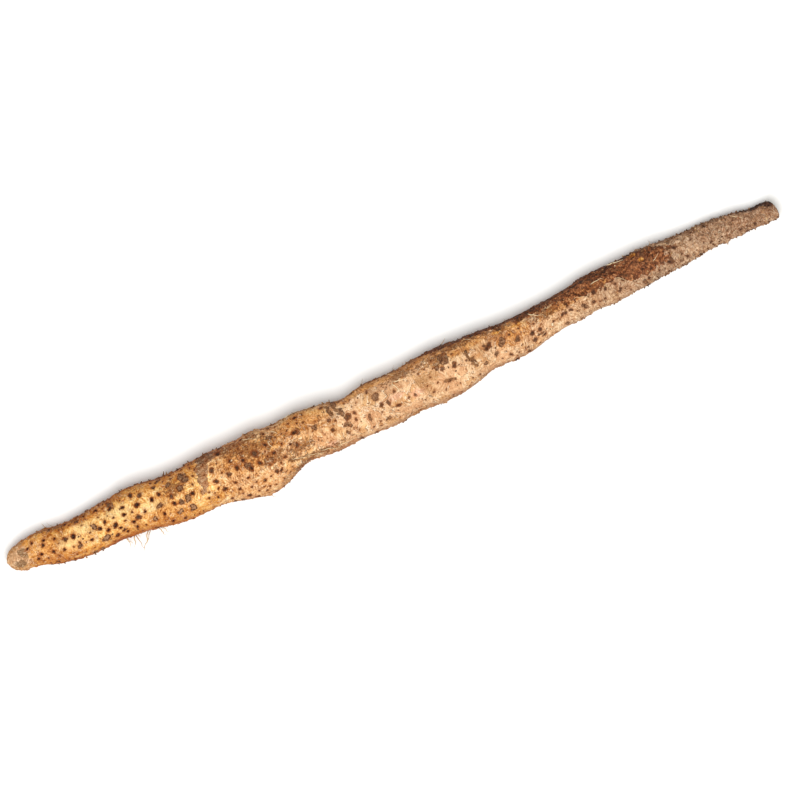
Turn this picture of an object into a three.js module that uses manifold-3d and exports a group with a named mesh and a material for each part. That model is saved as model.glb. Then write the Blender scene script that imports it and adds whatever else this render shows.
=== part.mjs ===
// A Chinese yam: one long, slim tuber, dug up whole, cut off its vine and laid on its side.
// It grew as one piece, peel and flesh together, so it is one solid.
//
// Millimetres. +X runs along the root from its rounded growing tip to the cut neck, +Z is up,
// and the origin is under the middle of its bounding box, on the surface that it lies on.

import * as THREE from "three";
import { mergeVertices } from "three/addons/utils/BufferGeometryUtils.js";
import Module from "manifold-3d";

// Driving dimensions
const CUT_AT = 602; // from the growing tip to the middle of the cut face
const TIP_LENGTH = 12; // the rounded end, before the sides run on
const FLATNESS = 0.94; // a section's height over its width
const CUT_TURN = 11; // degrees that the cut face looks towards +Y
const CUT_DIP = 20; // degrees that the cut face looks down
const NECK_SPARE = 16; // neck beyond the cut, which the knife takes off

// Fineness of the mesh
const SIDES = 28;
const RING_STEP = 6;
const TIP_RINGS = 5;

// The run of the root, by distance from the tip: how far its middle stands to the side (+Y),
// the gap between its belly and the surface, and half its width. It is a little below zero
// where it rests: there the belly is pressed flat.
const RUN = [
  // along, side, gap, half
  [0, -4.5, 4.0, 9.0],
  [12, -4.5, 2.6, 10.0],
  [22, -4.3, 1.2, 11.8],
  [32, -6.0, 0.2, 13.4],
  [52, -9.0, -0.5, 14.4],
  [82, -8.0, 0.8, 15.9],
  [102, -7.2, 2.2, 17.0],
  [122, -10.3, 2.8, 17.9],
  [142, -10.9, 1.9, 19.0],
  [162, -10.0, 0.7, 20.0],
  [182, -12.5, -0.4, 22.0],
  [195, -13.4, -0.7, 23.3],
  [208, -12.3, 0.0, 22.0],
  [222, -8.8, 2.0, 18.8],
  [242, -8.8, 3.6, 18.6],
  [262, -11.7, 4.6, 16.0],
  [277, -10.2, 3.4, 17.4],
  [292, -10.2, 1.4, 19.0],
  [312, -9.0, 0.6, 17.5],
  [337, -8.6, -0.5, 19.0],
  [352, -7.8, 0.0, 18.3],
  [372, -6.2, 2.2, 15.2],
  [402, -5.9, 4.2, 13.4],
  [427, -2.5, 5.2, 12.0],
  [452, -0.2, 4.4, 12.5],
  [482, 1.8, 2.0, 13.3],
  [502, 2.6, 0.6, 12.9],
  [532, 3.0, -0.4, 11.1],
  [562, 3.9, 0.1, 9.4],
  [582, 2.7, 0.9, 8.1],
  [604, 1.8, 2.4, 7.7],
  [CUT_AT + NECK_SPARE, 1.2, 3.2, 7.7],
];

// Slow swellings that wind round the root, so that no section is a plain oval.
const SWELLINGS = [
  // height, length of one wave, waves round a section, start
  { height: 0.45, length: 71, round: 2, start: 0.6 },
  { height: 0.35, length: 43, round: 3, start: 2.1 },
  { height: 0.3, length: 29, round: 1, start: 4.0 },
  { height: 0.2, length: 19, round: 4, start: 1.3 },
];
const SWELLING_FULL_AT = 15; // half width at which the swellings have their whole height

const run = new THREE.CubicInterpolant(
  RUN.map(([along]) => along),
  RUN.flatMap(([, side, gap, half]) => [side, gap, half]),
  3,
);

// The middle of the root at a distance from the tip, and half its width there.
function middleOf(along) {
  const [side, gap, half] = run.evaluate(along);
  return { point: new THREE.Vector3(along, side, gap + half * FLATNESS), half };
}

// The outline that is turned about the axis: a quarter of an oval, then the sides, then the end.
function outline() {
  const points = [];
  const shoulder = middleOf(TIP_LENGTH).half;
  for (let i = 0; i <= TIP_RINGS; i++) {
    const turn = ((i / TIP_RINGS) * Math.PI) / 2;
    points.push(new THREE.Vector2(shoulder * Math.sin(turn), TIP_LENGTH * (1 - Math.cos(turn))));
  }
  const end = CUT_AT + NECK_SPARE;
  const rings = Math.ceil((end - TIP_LENGTH) / RING_STEP);
  for (let i = 1; i <= rings; i++) {
    const along = TIP_LENGTH + ((end - TIP_LENGTH) * i) / rings;
    points.push(new THREE.Vector2(middleOf(along).half, along));
  }
  points.push(new THREE.Vector2(0, end));
  return points;
}

function swellingAt(along, angle, radius) {
  const share = Math.min(1, radius / SWELLING_FULL_AT);
  return SWELLINGS.reduce((sum, { height, length, round, start }) => {
    const wave = (2 * Math.PI * along) / length + round * angle + start;
    return sum + share * height * Math.sin(wave);
  }, 0);
}

// Turns the outline, then lays each ring square to the bent middle line.
function bentRoot() {
  const geometry = new THREE.LatheGeometry(outline(), SIDES);
  const places = geometry.getAttribute("position");
  const up = new THREE.Vector3(0, 0, 1);
  for (let i = 0; i < places.count; i++) {
    const along = places.getY(i);
    const angle = Math.atan2(places.getX(i), places.getZ(i));
    const turned = Math.hypot(places.getX(i), places.getZ(i));
    const radius = turned + swellingAt(along, angle, turned);
    const { point } = middleOf(along);
    const heading = middleOf(along + 1).point.sub(middleOf(along - 1).point).normalize();
    const aside = new THREE.Vector3().crossVectors(heading, up).normalize();
    const above = new THREE.Vector3().crossVectors(aside, heading);
    point.addScaledVector(aside, radius * Math.sin(angle));
    point.addScaledVector(above, radius * Math.cos(angle) * FLATNESS);
    places.setXYZ(i, point.x, point.y, point.z);
  }
  return geometry;
}

// Booleans
const wasm = await Module();
wasm.setup();

function solidOf(geometry) {
  const bare = geometry.clone();
  bare.deleteAttribute("normal");
  bare.deleteAttribute("uv");
  const merged = mergeVertices(bare, 1e-3);
  return new wasm.Manifold(
    new wasm.Mesh({
      numProp: 3,
      vertProperties: merged.getAttribute("position").array,
      triVerts: new Uint32Array(merged.index.array),
    }),
  );
}

function geometryOf(solid) {
  const mesh = solid.getMesh();
  const geometry = new THREE.BufferGeometry();
  geometry.setAttribute("position", new THREE.BufferAttribute(mesh.vertProperties, mesh.numProp));
  geometry.setIndex(new THREE.BufferAttribute(mesh.triVerts, 1));
  return geometry;
}

// What the knife takes off the neck: a block whose near face is the cut.
function beyondTheCut() {
  const size = 80;
  const { point } = middleOf(CUT_AT);
  return new THREE.BoxGeometry(size, size, size)
    .translate(size / 2, 0, 0)
    .rotateY(THREE.MathUtils.degToRad(CUT_DIP))
    .rotateZ(THREE.MathUtils.degToRad(CUT_TURN))
    .translate(point.x, point.y, point.z);
}

// The surface that the root lies on, which leaves a small flat wherever the belly rests.
function bench() {
  const [long, wide, deep] = [800, 200, 20];
  return new THREE.BoxGeometry(long, wide, deep).translate(CUT_AT / 2, 0, -deep / 2);
}

function tuberGeometry() {
  const solid = solidOf(bentRoot())
    .subtract(solidOf(beyondTheCut()))
    .subtract(solidOf(bench()));
  const geometry = geometryOf(solid);
  geometry.computeBoundingBox();
  const centre = geometry.boundingBox.getCenter(new THREE.Vector3());
  geometry.translate(-centre.x, -centre.y, -geometry.boundingBox.min.z);
  geometry.computeVertexNormals();
  return geometry;
}

const peel = new THREE.MeshStandardMaterial({ color: 0xb98c5e, roughness: 0.8, metalness: 0 });

const tuber = new THREE.Mesh(tuberGeometry(), peel);
tuber.name = "tuber";

const yam = new THREE.Group();
yam.add(tuber);

export default yam;
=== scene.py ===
import math
import random
from functools import partial

import bmesh
import bpy
import numpy as np
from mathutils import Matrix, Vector
from mathutils.bvhtree import BVHTree
from mathutils.kdtree import KDTree


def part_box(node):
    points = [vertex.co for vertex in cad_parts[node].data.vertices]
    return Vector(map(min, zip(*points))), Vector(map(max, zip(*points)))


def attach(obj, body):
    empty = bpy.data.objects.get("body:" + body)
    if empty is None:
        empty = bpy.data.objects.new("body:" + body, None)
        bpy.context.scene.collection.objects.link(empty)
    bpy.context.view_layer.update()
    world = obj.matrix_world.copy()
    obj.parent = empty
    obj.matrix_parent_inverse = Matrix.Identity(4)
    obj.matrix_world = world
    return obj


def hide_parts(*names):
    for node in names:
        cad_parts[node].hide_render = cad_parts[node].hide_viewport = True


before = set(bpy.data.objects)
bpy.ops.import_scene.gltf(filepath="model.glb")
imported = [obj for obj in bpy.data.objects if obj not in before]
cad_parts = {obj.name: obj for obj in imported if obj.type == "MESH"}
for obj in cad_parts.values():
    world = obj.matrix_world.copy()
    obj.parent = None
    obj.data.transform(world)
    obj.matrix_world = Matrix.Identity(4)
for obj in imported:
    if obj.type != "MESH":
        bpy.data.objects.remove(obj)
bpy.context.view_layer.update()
mm = 0.001  # the frame is in metres, and every size below is in millimetres
restGap = 0.02  # the least height of the skin over what it lies on


# small helpers

def colour(hexCode):  # sRGB hex to linear
    parts = [int(hexCode[i:i + 2], 16) / 255 for i in (1, 3, 5)]
    return [p / 12.92 if p <= 0.04045 else ((p + 0.055) / 1.055) ** 2.4 for p in parts] + [1.0]


# the kinds of node that are used most: full name, settings, and the sockets that the values go to in turn
kinds = {
    "step": ("ShaderNodeMapRange", {"interpolation_type": "SMOOTHSTEP"},
             ("Value", "From Min", "From Max", "To Min", "To Max")),
    "noise": ("ShaderNodeTexNoise", {}, ("Vector", "Scale", "Detail", "Roughness")),
    "cells": ("ShaderNodeTexVoronoi", {}, ("Vector", "Scale")),
    "stretch": ("ShaderNodeVectorMath", {"operation": "MULTIPLY"}, (0, 1)),
    "scale": ("ShaderNodeVectorMath", {"operation": "SCALE"}, (0, "Scale")),
    "join": ("ShaderNodeVectorMath", {"operation": "ADD"}, (0, 1)),
    "apart": ("ShaderNodeVectorMath", {"operation": "SUBTRACT"}, (0, 1)),
    "split": ("ShaderNodeSeparateXYZ", {}, (0,)),
    "vector": ("ShaderNodeCombineXYZ", {}, (0, 1, 2)),
    "mix": ("ShaderNodeMix", {"data_type": "RGBA"}, ("Factor", "A", "B")),
    "ramp": ("ShaderNodeValToRGB", {}, (0,)),
    "carried": ("ShaderNodeAttribute", {}, ()),
    "named": ("GeometryNodeInputNamedAttribute", {"data_type": "FLOAT"}, ("Name",)),
    "random": ("FunctionNodeRandomValue", {"data_type": "FLOAT"}, ("Min", "Max", "Seed")),
    "store": ("GeometryNodeStoreNamedAttribute", {"data_type": "FLOAT"}, ("Geometry", "Name", "Value")),
}
for operation in ("ADD", "SUBTRACT", "MULTIPLY", "MULTIPLY_ADD", "DIVIDE", "POWER", "ABSOLUTE", "MAXIMUM",
                  "LESS_THAN"):
    kinds[operation] = ("ShaderNodeMath", {"operation": operation}, (0, 1, 2))


def addNode(tree, kind, *values, stops=None, **settings):  # values in turn, or one dictionary by socket
    kind, usual, sockets = kinds.get(kind, (kind, {}, ()))
    feeds = values[0] if values and isinstance(values[0], dict) else dict(zip(sockets, values))
    node = tree.nodes.new(kind)
    node.location = (len(tree.nodes) % 12 * 190, len(tree.nodes) // 12 * -260)
    for name, value in {**usual, **settings}.items():
        setattr(node, name, value)
    if stops:
        ramp = node.color_ramp.elements
        while len(ramp) < len(stops):
            ramp.new(0.5)
        for element, (place, shade) in zip(ramp, stops.items()):
            element.position = place
            element.color = colour(shade) if isinstance(shade, str) else [shade] * 3 + [1.0]
    for key, value in feeds.items():
        socket = node.inputs[key] if isinstance(key, int) else next(
            s for s in node.inputs if s.enabled and s.name == key)
        if isinstance(value, bpy.types.Node):
            value = next(s for s in value.outputs if s.enabled)
        if isinstance(value, bpy.types.NodeSocket):
            tree.links.new(value, socket)
        else:
            socket.default_value = colour(value) if str(value).startswith("#") else value
    return node


def smoothStep(start, stop, values):
    share = np.clip((values - start) / (stop - start), 0, 1)
    return share * share * (3 - 2 * share)


def bell(offsets, width):
    return np.exp(-0.5 * (offsets / width) ** 2)


def turnGap(turns, turn):  # degrees from one turn to others, by the shorter way round
    return (turns - turn + 180) % 360 - 180


def carry(mesh, name, values):  # numbers or vectors, one for each point of the mesh
    values = np.array(values, dtype=np.float32)
    kind, key = ("FLOAT", "value") if values.ndim == 1 else ("FLOAT_VECTOR", "vector")
    mesh.attributes.new(name, kind, "POINT").data.foreach_set(key, values.ravel())


def addPiece(name, data):
    piece = bpy.data.objects.new(name, data)
    bpy.context.scene.collection.objects.link(piece)
    return piece


def declare(piece):
    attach(piece, "root")
    print(piece.name, "made:", len(piece.data.polygons), "faces")


def swing(add, value, weight, total):  # adds so much of a pattern that is 0.5 in the middle
    return add("MULTIPLY_ADD", add("SUBTRACT", value, 0.5), weight, total)


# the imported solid, measured

low, high = (np.array(corner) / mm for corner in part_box("tuber"))
solid = bmesh.new()
solid.from_mesh(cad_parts["tuber"].data)
bmesh.ops.remove_doubles(solid, verts=solid.verts, dist=1e-6)
bmesh.ops.recalc_face_normals(solid, faces=solid.faces)
solidTree = BVHTree.FromBMesh(solid)
corners = np.array([v.co for v in solid.verts]) / mm
cutFaces = [f for f in solid.faces if f.normal.x > 0.75 and f.calc_center_median().x > (high[0] - 12) * mm]
cutNormal = np.array(sum((f.normal * f.calc_area() for f in cutFaces), Vector()).normalized())
cutArea = sum(f.calc_area() for f in cutFaces)
cutSum = sum((f.calc_center_median() * f.calc_area() for f in cutFaces), Vector())
cutPoint = np.array(cutSum) / cutArea / mm
solid.free()
print("solid measured:", len(cutFaces), "cut faces, cut normal", cutNormal.round(3))


def reach(start, direction):  # mm from a point inside the solid to its surface
    hit = solidTree.ray_cast(Vector(start * mm), Vector(direction))
    return hit[3] / mm if hit[0] else None


skin = {
    "columns": 136,  # faces round a section
    "ringStep": 0.86,  # between rings
    "tipDepth": 12.0,  # the rounded tip, where the rings fan round its end
    "neckTurn": 24.0,  # the last of the neck, where the rings turn to lie along the cut
    "blurAlong": 4.0,  # how far the solid's facets are smoothed away
    "blurRound": 3.0,  # the same, in columns
    "cutRings": [0.3, 0.8, 1.5, 2.5, 3.6, 4.8, 6.0],  # rings of the cut face, in from its rim
    # slight swellings and hollows: mm from the tip, degrees round from the top, mm out, half the length
    "swells": [
        (50, 90, -0.5, 8), (70, 90, 0.6, 7), (94, 90, 0.4, 6), (116, 90, -1.1, 7), (136, 90, -0.7, 5),
        (155, 90, -0.7, 5), (172, 90, -1.1, 6), (243, 90, -1.4, 7), (484, 90, -1.0, 9), (540, 90, -0.6, 12),
        (592, 90, -1.4, 9), (6, -90, -0.6, 6), (42, -90, -0.9, 9), (180, -90, -0.6, 6), (199, -90, 0.5, 6),
        (218, -90, -1.4, 8), (248, -90, 1.3, 9), (268, -90, -1.0, 5), (406, -90, 0.8, 6),
        (442, -90, 0.5, 12), (472, -90, 0.7, 6), (499, -90, 0.8, 6), (530, -90, -0.4, 10),
        (552, -90, -0.8, 8), (598, -90, -0.7, 7), (120, 180, 0.8, 16), (300, 170, -0.7, 14),
        (430, 190, 0.7, 18), (260, 20, -0.5, 7),
    ],
    "swellRound": 38.0,  # degrees round that one takes up, half its width
}


def middleLine():
    stations = np.arange(low[0] + skin["tipDepth"], high[0] - 14, 4.0)
    middles = []
    for x in stations:
        y, z = corners[np.abs(corners[:, 0] - x) < 6, 1:].mean(axis=0)
        for _ in range(3):
            start = np.array([x, y, z])
            y += (reach(start, (0, 1, 0)) - reach(start, (0, -1, 0))) / 2
            start[1] = y
            z += (reach(start, (0, 0, 1)) - reach(start, (0, 0, -1))) / 2
        middles.append((y, z))
    middles = np.array(middles)
    kernel = bell(np.arange(-6, 7), 2.5)
    kernel /= kernel.sum()
    padded = np.pad(middles, ((6, 6), (0, 0)), mode="reflect", reflect_type="odd")
    return stations, np.stack([np.convolve(padded[:, i], kernel, "valid") for i in (0, 1)], axis=1)


stations, middles = middleLine()


def middleAt(x):
    return np.array([x, *(np.interp(x, stations, middles[:, i]) for i in (0, 1))])


def ringFrames():  # middle of each ring, its axis, and how far its rays lean back to the tip
    tipX, stop = low[0] + skin["tipDepth"], cutPoint[0]
    fan = round(math.pi / 2 * skin["tipDepth"] / skin["ringStep"])
    frames = [(middleAt(tipX), np.array([1.0, 0, 0]), math.pi / 2 * (1 - i / fan)) for i in range(1, fan)]
    for x in np.linspace(tipX, stop, round((stop - tipX) / skin["ringStep"])):
        turn = float(smoothStep(stop - skin["neckTurn"], stop, x))
        axis = (1 - turn) * np.array([1.0, 0, 0]) + turn * cutNormal
        frames.append((middleAt(x), axis / np.linalg.norm(axis), 0.0))
    slide = np.dot(cutPoint - frames[-1][0], cutNormal) / cutNormal[0] - 0.05
    return [(middle + np.array([slide * float(smoothStep(stop - skin["neckTurn"], stop, middle[0])), 0, 0]),
             axis, lean) for middle, axis, lean in frames]


ringTurns = -180 + 360 * np.arange(skin["columns"]) / skin["columns"]  # degrees from the top, to +Y


def castSkin():
    frames, turns = ringFrames(), np.radians(ringTurns)
    radii = np.zeros((len(frames), len(turns)))
    rays = np.zeros((len(frames), len(turns), 3))
    for k, (middle, axis, lean) in enumerate(frames):
        side = np.array([0, 1.0, 0]) - axis[1] * axis
        side /= np.linalg.norm(side)
        above = np.cross(axis, side)
        spokes = np.outer(np.sin(turns), side) + np.outer(np.cos(turns), above)
        rays[k] = math.cos(lean) * spokes - math.sin(lean) * axis
        for j, ray in enumerate(rays[k]):
            radii[k, j] = reach(middle, ray) or radii[k - 1, j]
    return np.array([f[0] for f in frames]), rays, radii


def blur(grid, along, around):  # gaussian, closed round the section
    reachAlong = int(3 * along / skin["ringStep"])
    kernel = bell(np.arange(-reachAlong, reachAlong + 1) * skin["ringStep"], along)
    kernel /= kernel.sum()
    padded = np.pad(grid, ((reachAlong, reachAlong), (0, 0)), mode="reflect", reflect_type="odd")
    soft = sum(w * padded[i:i + len(grid)] for i, w in enumerate(kernel))
    waves = np.fft.rfftfreq(grid.shape[1])
    fade = np.exp(-2 * (np.pi * waves * around) ** 2)
    return np.fft.irfft(np.fft.rfft(soft, axis=1) * fade, grid.shape[1], axis=1)


ringMiddles, rays, radii = castSkin()
radii = blur(radii, skin["blurAlong"], skin["blurRound"])
for place, turn, out, halfLong in skin["swells"]:
    here = bell(ringMiddles[:, 0] - low[0] - place, halfLong)
    radii += out * np.outer(here, bell(turnGap(ringTurns, turn), skin["swellRound"]))
rings = ringMiddles[:, None, :] + rays * radii[:, :, None]
rings[:, :, 2] = np.maximum(rings[:, :, 2], restGap)
tipPoint = np.array([low[0], *rings[0, :, 1:].mean(axis=0)])
fleshCentre = rings[-1].mean(axis=0)
fleshSpan = np.linalg.norm(rings[-1] - fleshCentre, axis=1).mean()
flesh = np.array([fleshCentre + (rings[-1] - fleshCentre) * (1 - inset / fleshSpan)
                  for inset in skin["cutRings"]])
print("skin cast:", rings.shape[0], "rings of", rings.shape[1])

# every point of the skin, in the order of its mesh: tip, rings, cut rings, middle of the cut
points = np.vstack([tipPoint[None], rings.reshape(-1, 3), flesh.reshape(-1, 3), fleshCentre[None]])
columns = skin["columns"]
peelCount = 1 + len(rings) * columns
middleOfPoint = np.vstack([ringMiddles[:1], np.repeat(ringMiddles, columns, axis=0),
                           np.repeat(ringMiddles[-1:], len(points) - peelCount, axis=0)])
along = points[:, 0] - low[0]
fromMiddle = points - middleOfPoint
roundTurn = np.degrees(np.arctan2(fromMiddle[:, 1], fromMiddle[:, 2]))  # 0 on top, 90 towards +Y
girth = np.hypot(fromMiddle[:, 1], fromMiddle[:, 2])


def pointTree(indices, flat):
    tree = KDTree(len(indices))
    for i in indices:
        tree.insert(Vector(points[i] * (1, 1, 0)) if flat else Vector(points[i]), int(i))
    tree.balance()
    return tree


peelTree = pointTree(range(peelCount), False)
upperTree = pointTree(np.flatnonzero((np.abs(roundTurn) < 86) & (np.arange(len(points)) < peelCount)), True)


def aroundWay(i):  # the direction round the root, at a point of the skin
    turn = math.radians(roundTurn[i])
    return np.array([0, math.cos(turn), -math.sin(turn)])


def onTop(place, side):  # the point of the upper side that is so far from the tip and so far to the side
    return upperTree.find(Vector((low[0] + place, side, 0)))[1]


# what the peel carries, and where

# stains, seen from above: mm from the tip, mm to the side, half its length, half its width
stains = {
    "rust": [
        (466, 21, 40, 10.5), (500, 17, 22, 10.5), (430, 20, 18, 8), (415, 18.5, 14, 7.5), (390, 20, 22, 7),
        (364, 20.5, 22, 6.5), (345, 20.5, 20, 4.5), (404, 17.5, 8, 6),
    ],
    "soil": [(160.5, 17, 8.5, 6.5), (154.5, 10, 5, 7), (152.5, 3, 3.4, 5.5), (150, -4, 2.4, 2.4)],
    "scab": [
        (343.5, 11.5, 3.6, 5), (337, 7.5, 2, 1.8), (349, 5, 1.4, 2.4), (254, 12, 1.3, 5.5),
        (258.8, 13, 1.8, 4.5), (262, 7, 1.4, 4), (265, 2, 2.6, 2.4), (264, -3.2, 1.6, 1.8),
        (171, 16.5, 2.8, 2.2), (194.5, 4.5, 3.4, 2.4), (187.5, -2, 2.4, 4), (184.5, 8, 1.4, 2.4),
        (228, 7.6, 1.8, 2.8), (140.5, 11.5, 3.2, 3), (360.2, 7.4, 1.4, 2.6), (362, 2.8, 1.5, 2),
        (364, -1.4, 1.2, 2.4), (376, 6.6, 2.8, 2), (378, 8.6, 1.6, 1.4), (303, -5.4, 2.6, 1.1),
        (85.4, 13.4, 1.6, 3.6), (88.4, -6, 2.6, 1.1), (201, -4, 3.6, 2.4), (208, 12, 3, 1.2),
        (341.5, -4, 1.8, 1.1), (415, -0.4, 3, 0.8), (521, 8.4, 2, 2.6), (498, 2.6, 1.8, 2.4),
    ],
    "smudge": [(13.6, 8.0, 4.0, 5.4), (9.5, 2.0, 4.8, 4.2)],
    "olive": [(327, -1.5, 3.6, 9), (323, 3.5, 5, 5), (332, 4, 5, 4)],
    # dark brown patches: dirt, and partly painted shade where they lie along the upper and lower edges
    "dirt": [
        (194, 9, 30, 14), (182, 16, 36, 9), (236, 20, 26, 6), (338, 13, 13, 9), (116, 19, 60, 5),
        (45, 15, 40, 4), (221, -4, 12, 11), (240, -13, 28, 5), (300, 19, 56, 7), (131, 6, 15, 9),
        (368, 17, 30, 4), (205, -3, 16, 12), (312, 14, 22, 7), (342, 11, 8, 8), (337, 15, 16, 7),
        (424, 12, 20, 7), (355, 16.5, 24, 5), (392, 15.5, 20, 5), (338, 14, 17, 11), (388, 13, 9, 5),
        (230, -3, 9, 7), (224, -15, 16, 7),
    ],
    "ochre": [
        (394, 9, 20, 12), (355, 15, 32, 8), (300, 17, 60, 8), (232, 14, 30, 12), (440, 13, 30, 5),
        (70, 14, 40, 5), (36, 0, 26, 18), (122, -8, 28, 10), (128, 4, 16, 8), (190, 6, 34, 16),
        (62, -14, 50, 7),
    ],
    "orange": [(496, 23.6, 4, 2.4), (501, 18.6, 2.4, 2.4), (386, 14, 6, 2.4), (401, 12, 5, 2)],
    "blush": [(247.5, -11.4, 6, 4), (302, 1, 10, 4), (316, -3, 8, 5)],
    # painted shade: a near-black patch at the upper corner of the cut neck
    "shade": [(592, 20.5, 19, 7), (601, 18.5, 6, 6)],
    # painted highlight: a pale wash along the middle of the golden stretch
    "pale": [(88, 7, 16, 8), (60, 8, 10, 6), (47, 2, 12, 6), (112, 1, 14, 6)],
}
# more on the underside: how many, the most of half its length, and from where to where, mm from the tip
hiddenStains = {
    "scab": (60, 4, 20, 590), "rust": (5, 14, 170, 440), "soil": (7, 13, 30, 440),
    "dirt": (30, 26, 20, 520), "ochre": (12, 18, 60, 560), "blush": (6, 12, 180, 400),
}


def stainField(name, seed):
    dice = random.Random(seed)
    spots = []
    for place, side, halfLong, halfRound in stains[name]:
        spots.append((place, roundTurn[onTop(place, side)], halfLong, halfRound))
    count, size, start, stop = hiddenStains.get(name, (0, 0, 0, 0))
    for _ in range(count):
        spots.append((dice.uniform(start, stop), dice.uniform(135, 225),
                      dice.uniform(0.5, 1) * size, dice.uniform(0.3, 0.6) * size))
    # a crisp one gives mm inside its edge, the others 1 in the middle and 0 at the edge
    crisp = name in ("rust", "soil", "scab", "smudge", "olive")
    field = np.full(len(points), -20.0 if crisp else 0.0)
    for place, turn, halfLong, halfRound in spots:
        aside = np.radians(turnGap(roundTurn, turn)) * np.maximum(girth, 4)
        inside = 1 - np.hypot((along - place) / halfLong, aside / halfRound)
        field = np.maximum(field, inside * (min(halfLong, halfRound) if crisp else 1))
    return field


fields = {name: stainField(name, seed) for seed, name in enumerate(stains)}

scars = {
    "seed": 21,
    "apart": 2.6,  # least gap between the scattered ones
    "tries": 7000,
    # mm from the tip, mm to the side, mm across, and 0 for dark to 1 for old and grey, or 2 for pale pith
    "placed": [
        (18, 9.5, 2.2, 0), (22, 12.2, 2.0, 0), (31, 10.5, 2.2, 0), (29, 7.5, 2.6, 0), (26, 2, 2.4, 0),
        (22, -0.5, 2.2, 0), (34, 0, 2.6, 0), (39, 8.5, 1.8, 0), (42, -1.5, 2.2, 0), (46, 5, 3.2, 0.3),
        (52, 4.5, 3.8, 0), (58, 12.6, 3.0, 0.4), (53, -4, 3.0, 0.5), (54, -1.4, 1.8, 0),
        (68, 4.7, 4.0, 0.8), (63, -3.5, 2.2, 0), (73, 14.6, 3.0, 0.2), (71, 1.6, 3.0, 0.1),
        (77, 4.8, 2.6, 0), (77, -1.4, 2.6, 0), (73, -6.6, 5.2, 0.6), (83.5, 15, 3.6, 0.5),
        (83.5, 11.8, 3.4, 0.2), (83, -0.5, 3.8, 0.1), (81, -7.8, 3.4, 0.2), (85.5, -4.2, 2.4, 0),
        (87, -6, 2.4, 0), (88.5, -8, 2.2, 0), (92.5, 8.8, 2.8, 0), (91.5, 3.8, 2.6, 0),
        (95.4, -3.8, 2.6, 0), (96.5, -8, 2.4, 0), (101, 14.4, 3.4, 0.3), (102.5, 6.6, 3.8, 0.2),
        (100, -2.5, 4.2, 0.3), (107, 12.2, 3.4, 0.4), (106, -0.6, 2.2, 0), (113.5, 5.5, 3.2, 0.1),
        (117.5, 12.6, 3.0, 0.3), (120, 6.5, 2.8, 0.2), (117.5, -0.8, 3.4, 0.5), (118, -8, 2.4, 0),
        (110, -8.4, 3.2, 0.7), (128, 10.4, 3.6, 0.6), (127, 1.5, 3.0, 0.3), (127, -4.1, 3.0, 0),
        (138.5, 12, 5.6, 0.6), (141, 9, 4.6, 0.5), (135.5, 4.4, 4.6, 0.5), (142, -2.4, 3.4, 0),
        (137.5, -4.6, 4.6, 0.9), (132.6, -4.8, 3.6, 0.8), (139, -11.7, 5.0, 0.8), (129, -10.7, 3.6, 0.8),
        (121.5, -14.6, 2.4, 0), (130, -16, 2.4, 0.1), (161, 7.3, 3.8, 0.3), (161, -1.6, 3.2, 0.2),
        (164.5, -9.6, 3.6, 0.2), (157.5, -12.8, 1.8, 0), (170, 16, 4.2, 0.2), (176, 7.3, 3.0, 0.1),
        (178, 1.5, 3.6, 0.2), (171, -0.8, 3.4, 0.4), (172.6, -8.2, 2.0, 0), (174, -13.6, 2.4, 0),
        (183, -8.2, 2.0, 0), (184.6, 4.6, 3.2, 0.1), (186, 0, 4.6, 0.5), (187.4, -3.6, 3.2, 0.2),
        (194, 5, 5.0, 0.3), (194.6, -2, 3.4, 0.1), (193, -15.4, 2.6, 0), (203, 8, 3.0, 0.2),
        (207, 0, 3.0, 0.2), (203, -12.5, 3.2, 0.3), (207, -13.6, 2.6, 0.2), (212.6, -6, 2.2, 0),
        (226, 7.6, 4.0, 0.2), (224, -2, 3.0, 0.3), (240, 4.7, 3.8, 1), (251, 5, 2.6, 0.3),
        (251.4, -2.2, 3.0, 0.1), (264.5, 2, 4.0, 0.3), (262, -2.7, 3.4, 0.4), (260.6, -8.4, 2.6, 0.5),
        (270.4, 2.4, 2.4, 0.1), (269.6, -2.4, 2.2, 0.2), (288.4, 6.7, 5.4, 0.55), (284, 12, 2.2, 0.2),
        (290, -0.5, 3.0, 0.1), (295, -1.3, 3.2, 0.2), (279, -5, 3.0, 1), (291, -10.8, 3.2, 1),
        (301, -5.2, 2.8, 0.2), (302, 5.2, 2.2, 0.2), (315, -3.6, 2.2, 0.2), (340, 5.2, 3.0, 0.2),
        (349, 4, 3.2, 0.2), (342, -4, 3.0, 0.3), (375, 5.8, 3.2, 0), (377, 7.8, 3.4, 0.1),
        (373.6, 8.4, 2.4, 0), (380, -0.6, 3.2, 0.6), (370, -4.1, 2.8, 0.8), (386.6, 5.8, 5.6, 0.8),
        (388, 15, 4.0, 0.5), (398, 2.9, 3.8, 0.4), (389, -5.4, 2.4, 0.2), (409, 2.4, 3.2, 0.1),
        (415, 2.4, 2.8, 0), (409.5, -2.9, 3.2, 0.3), (417, -2, 2.8, 0.2), (426, 4, 1.6, 0),
        (434, 5.6, 2.4, 0.3), (437, 5.8, 2.2, 0.2), (441, 6.3, 2.4, 0.3), (451, 4.6, 3.8, 0.9),
        (460.6, 11.1, 3.4, 0.1), (458, 4.6, 2.4, 0.3), (479, 4.9, 3.0, 0.3), (469, 10, 2.4, 0.2),
        (501.4, 4.2, 2.6, 0), (519, 8.4, 3.4, 0.1), (526, 17, 3.0, 0.1), (552, 9.6, 2.2, 0.1),
        (586.4, 8.3, 2.4, 0.2), (575, 9, 2.0, 0.2), (58, 12.8, 1.3, 2), (83.6, 13.6, 1.2, 2),
        (176.5, 7.8, 1.2, 2), (202.6, 7.6, 1.4, 2), (424.6, 2.4, 1.4, 2),
    ],
}


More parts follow.
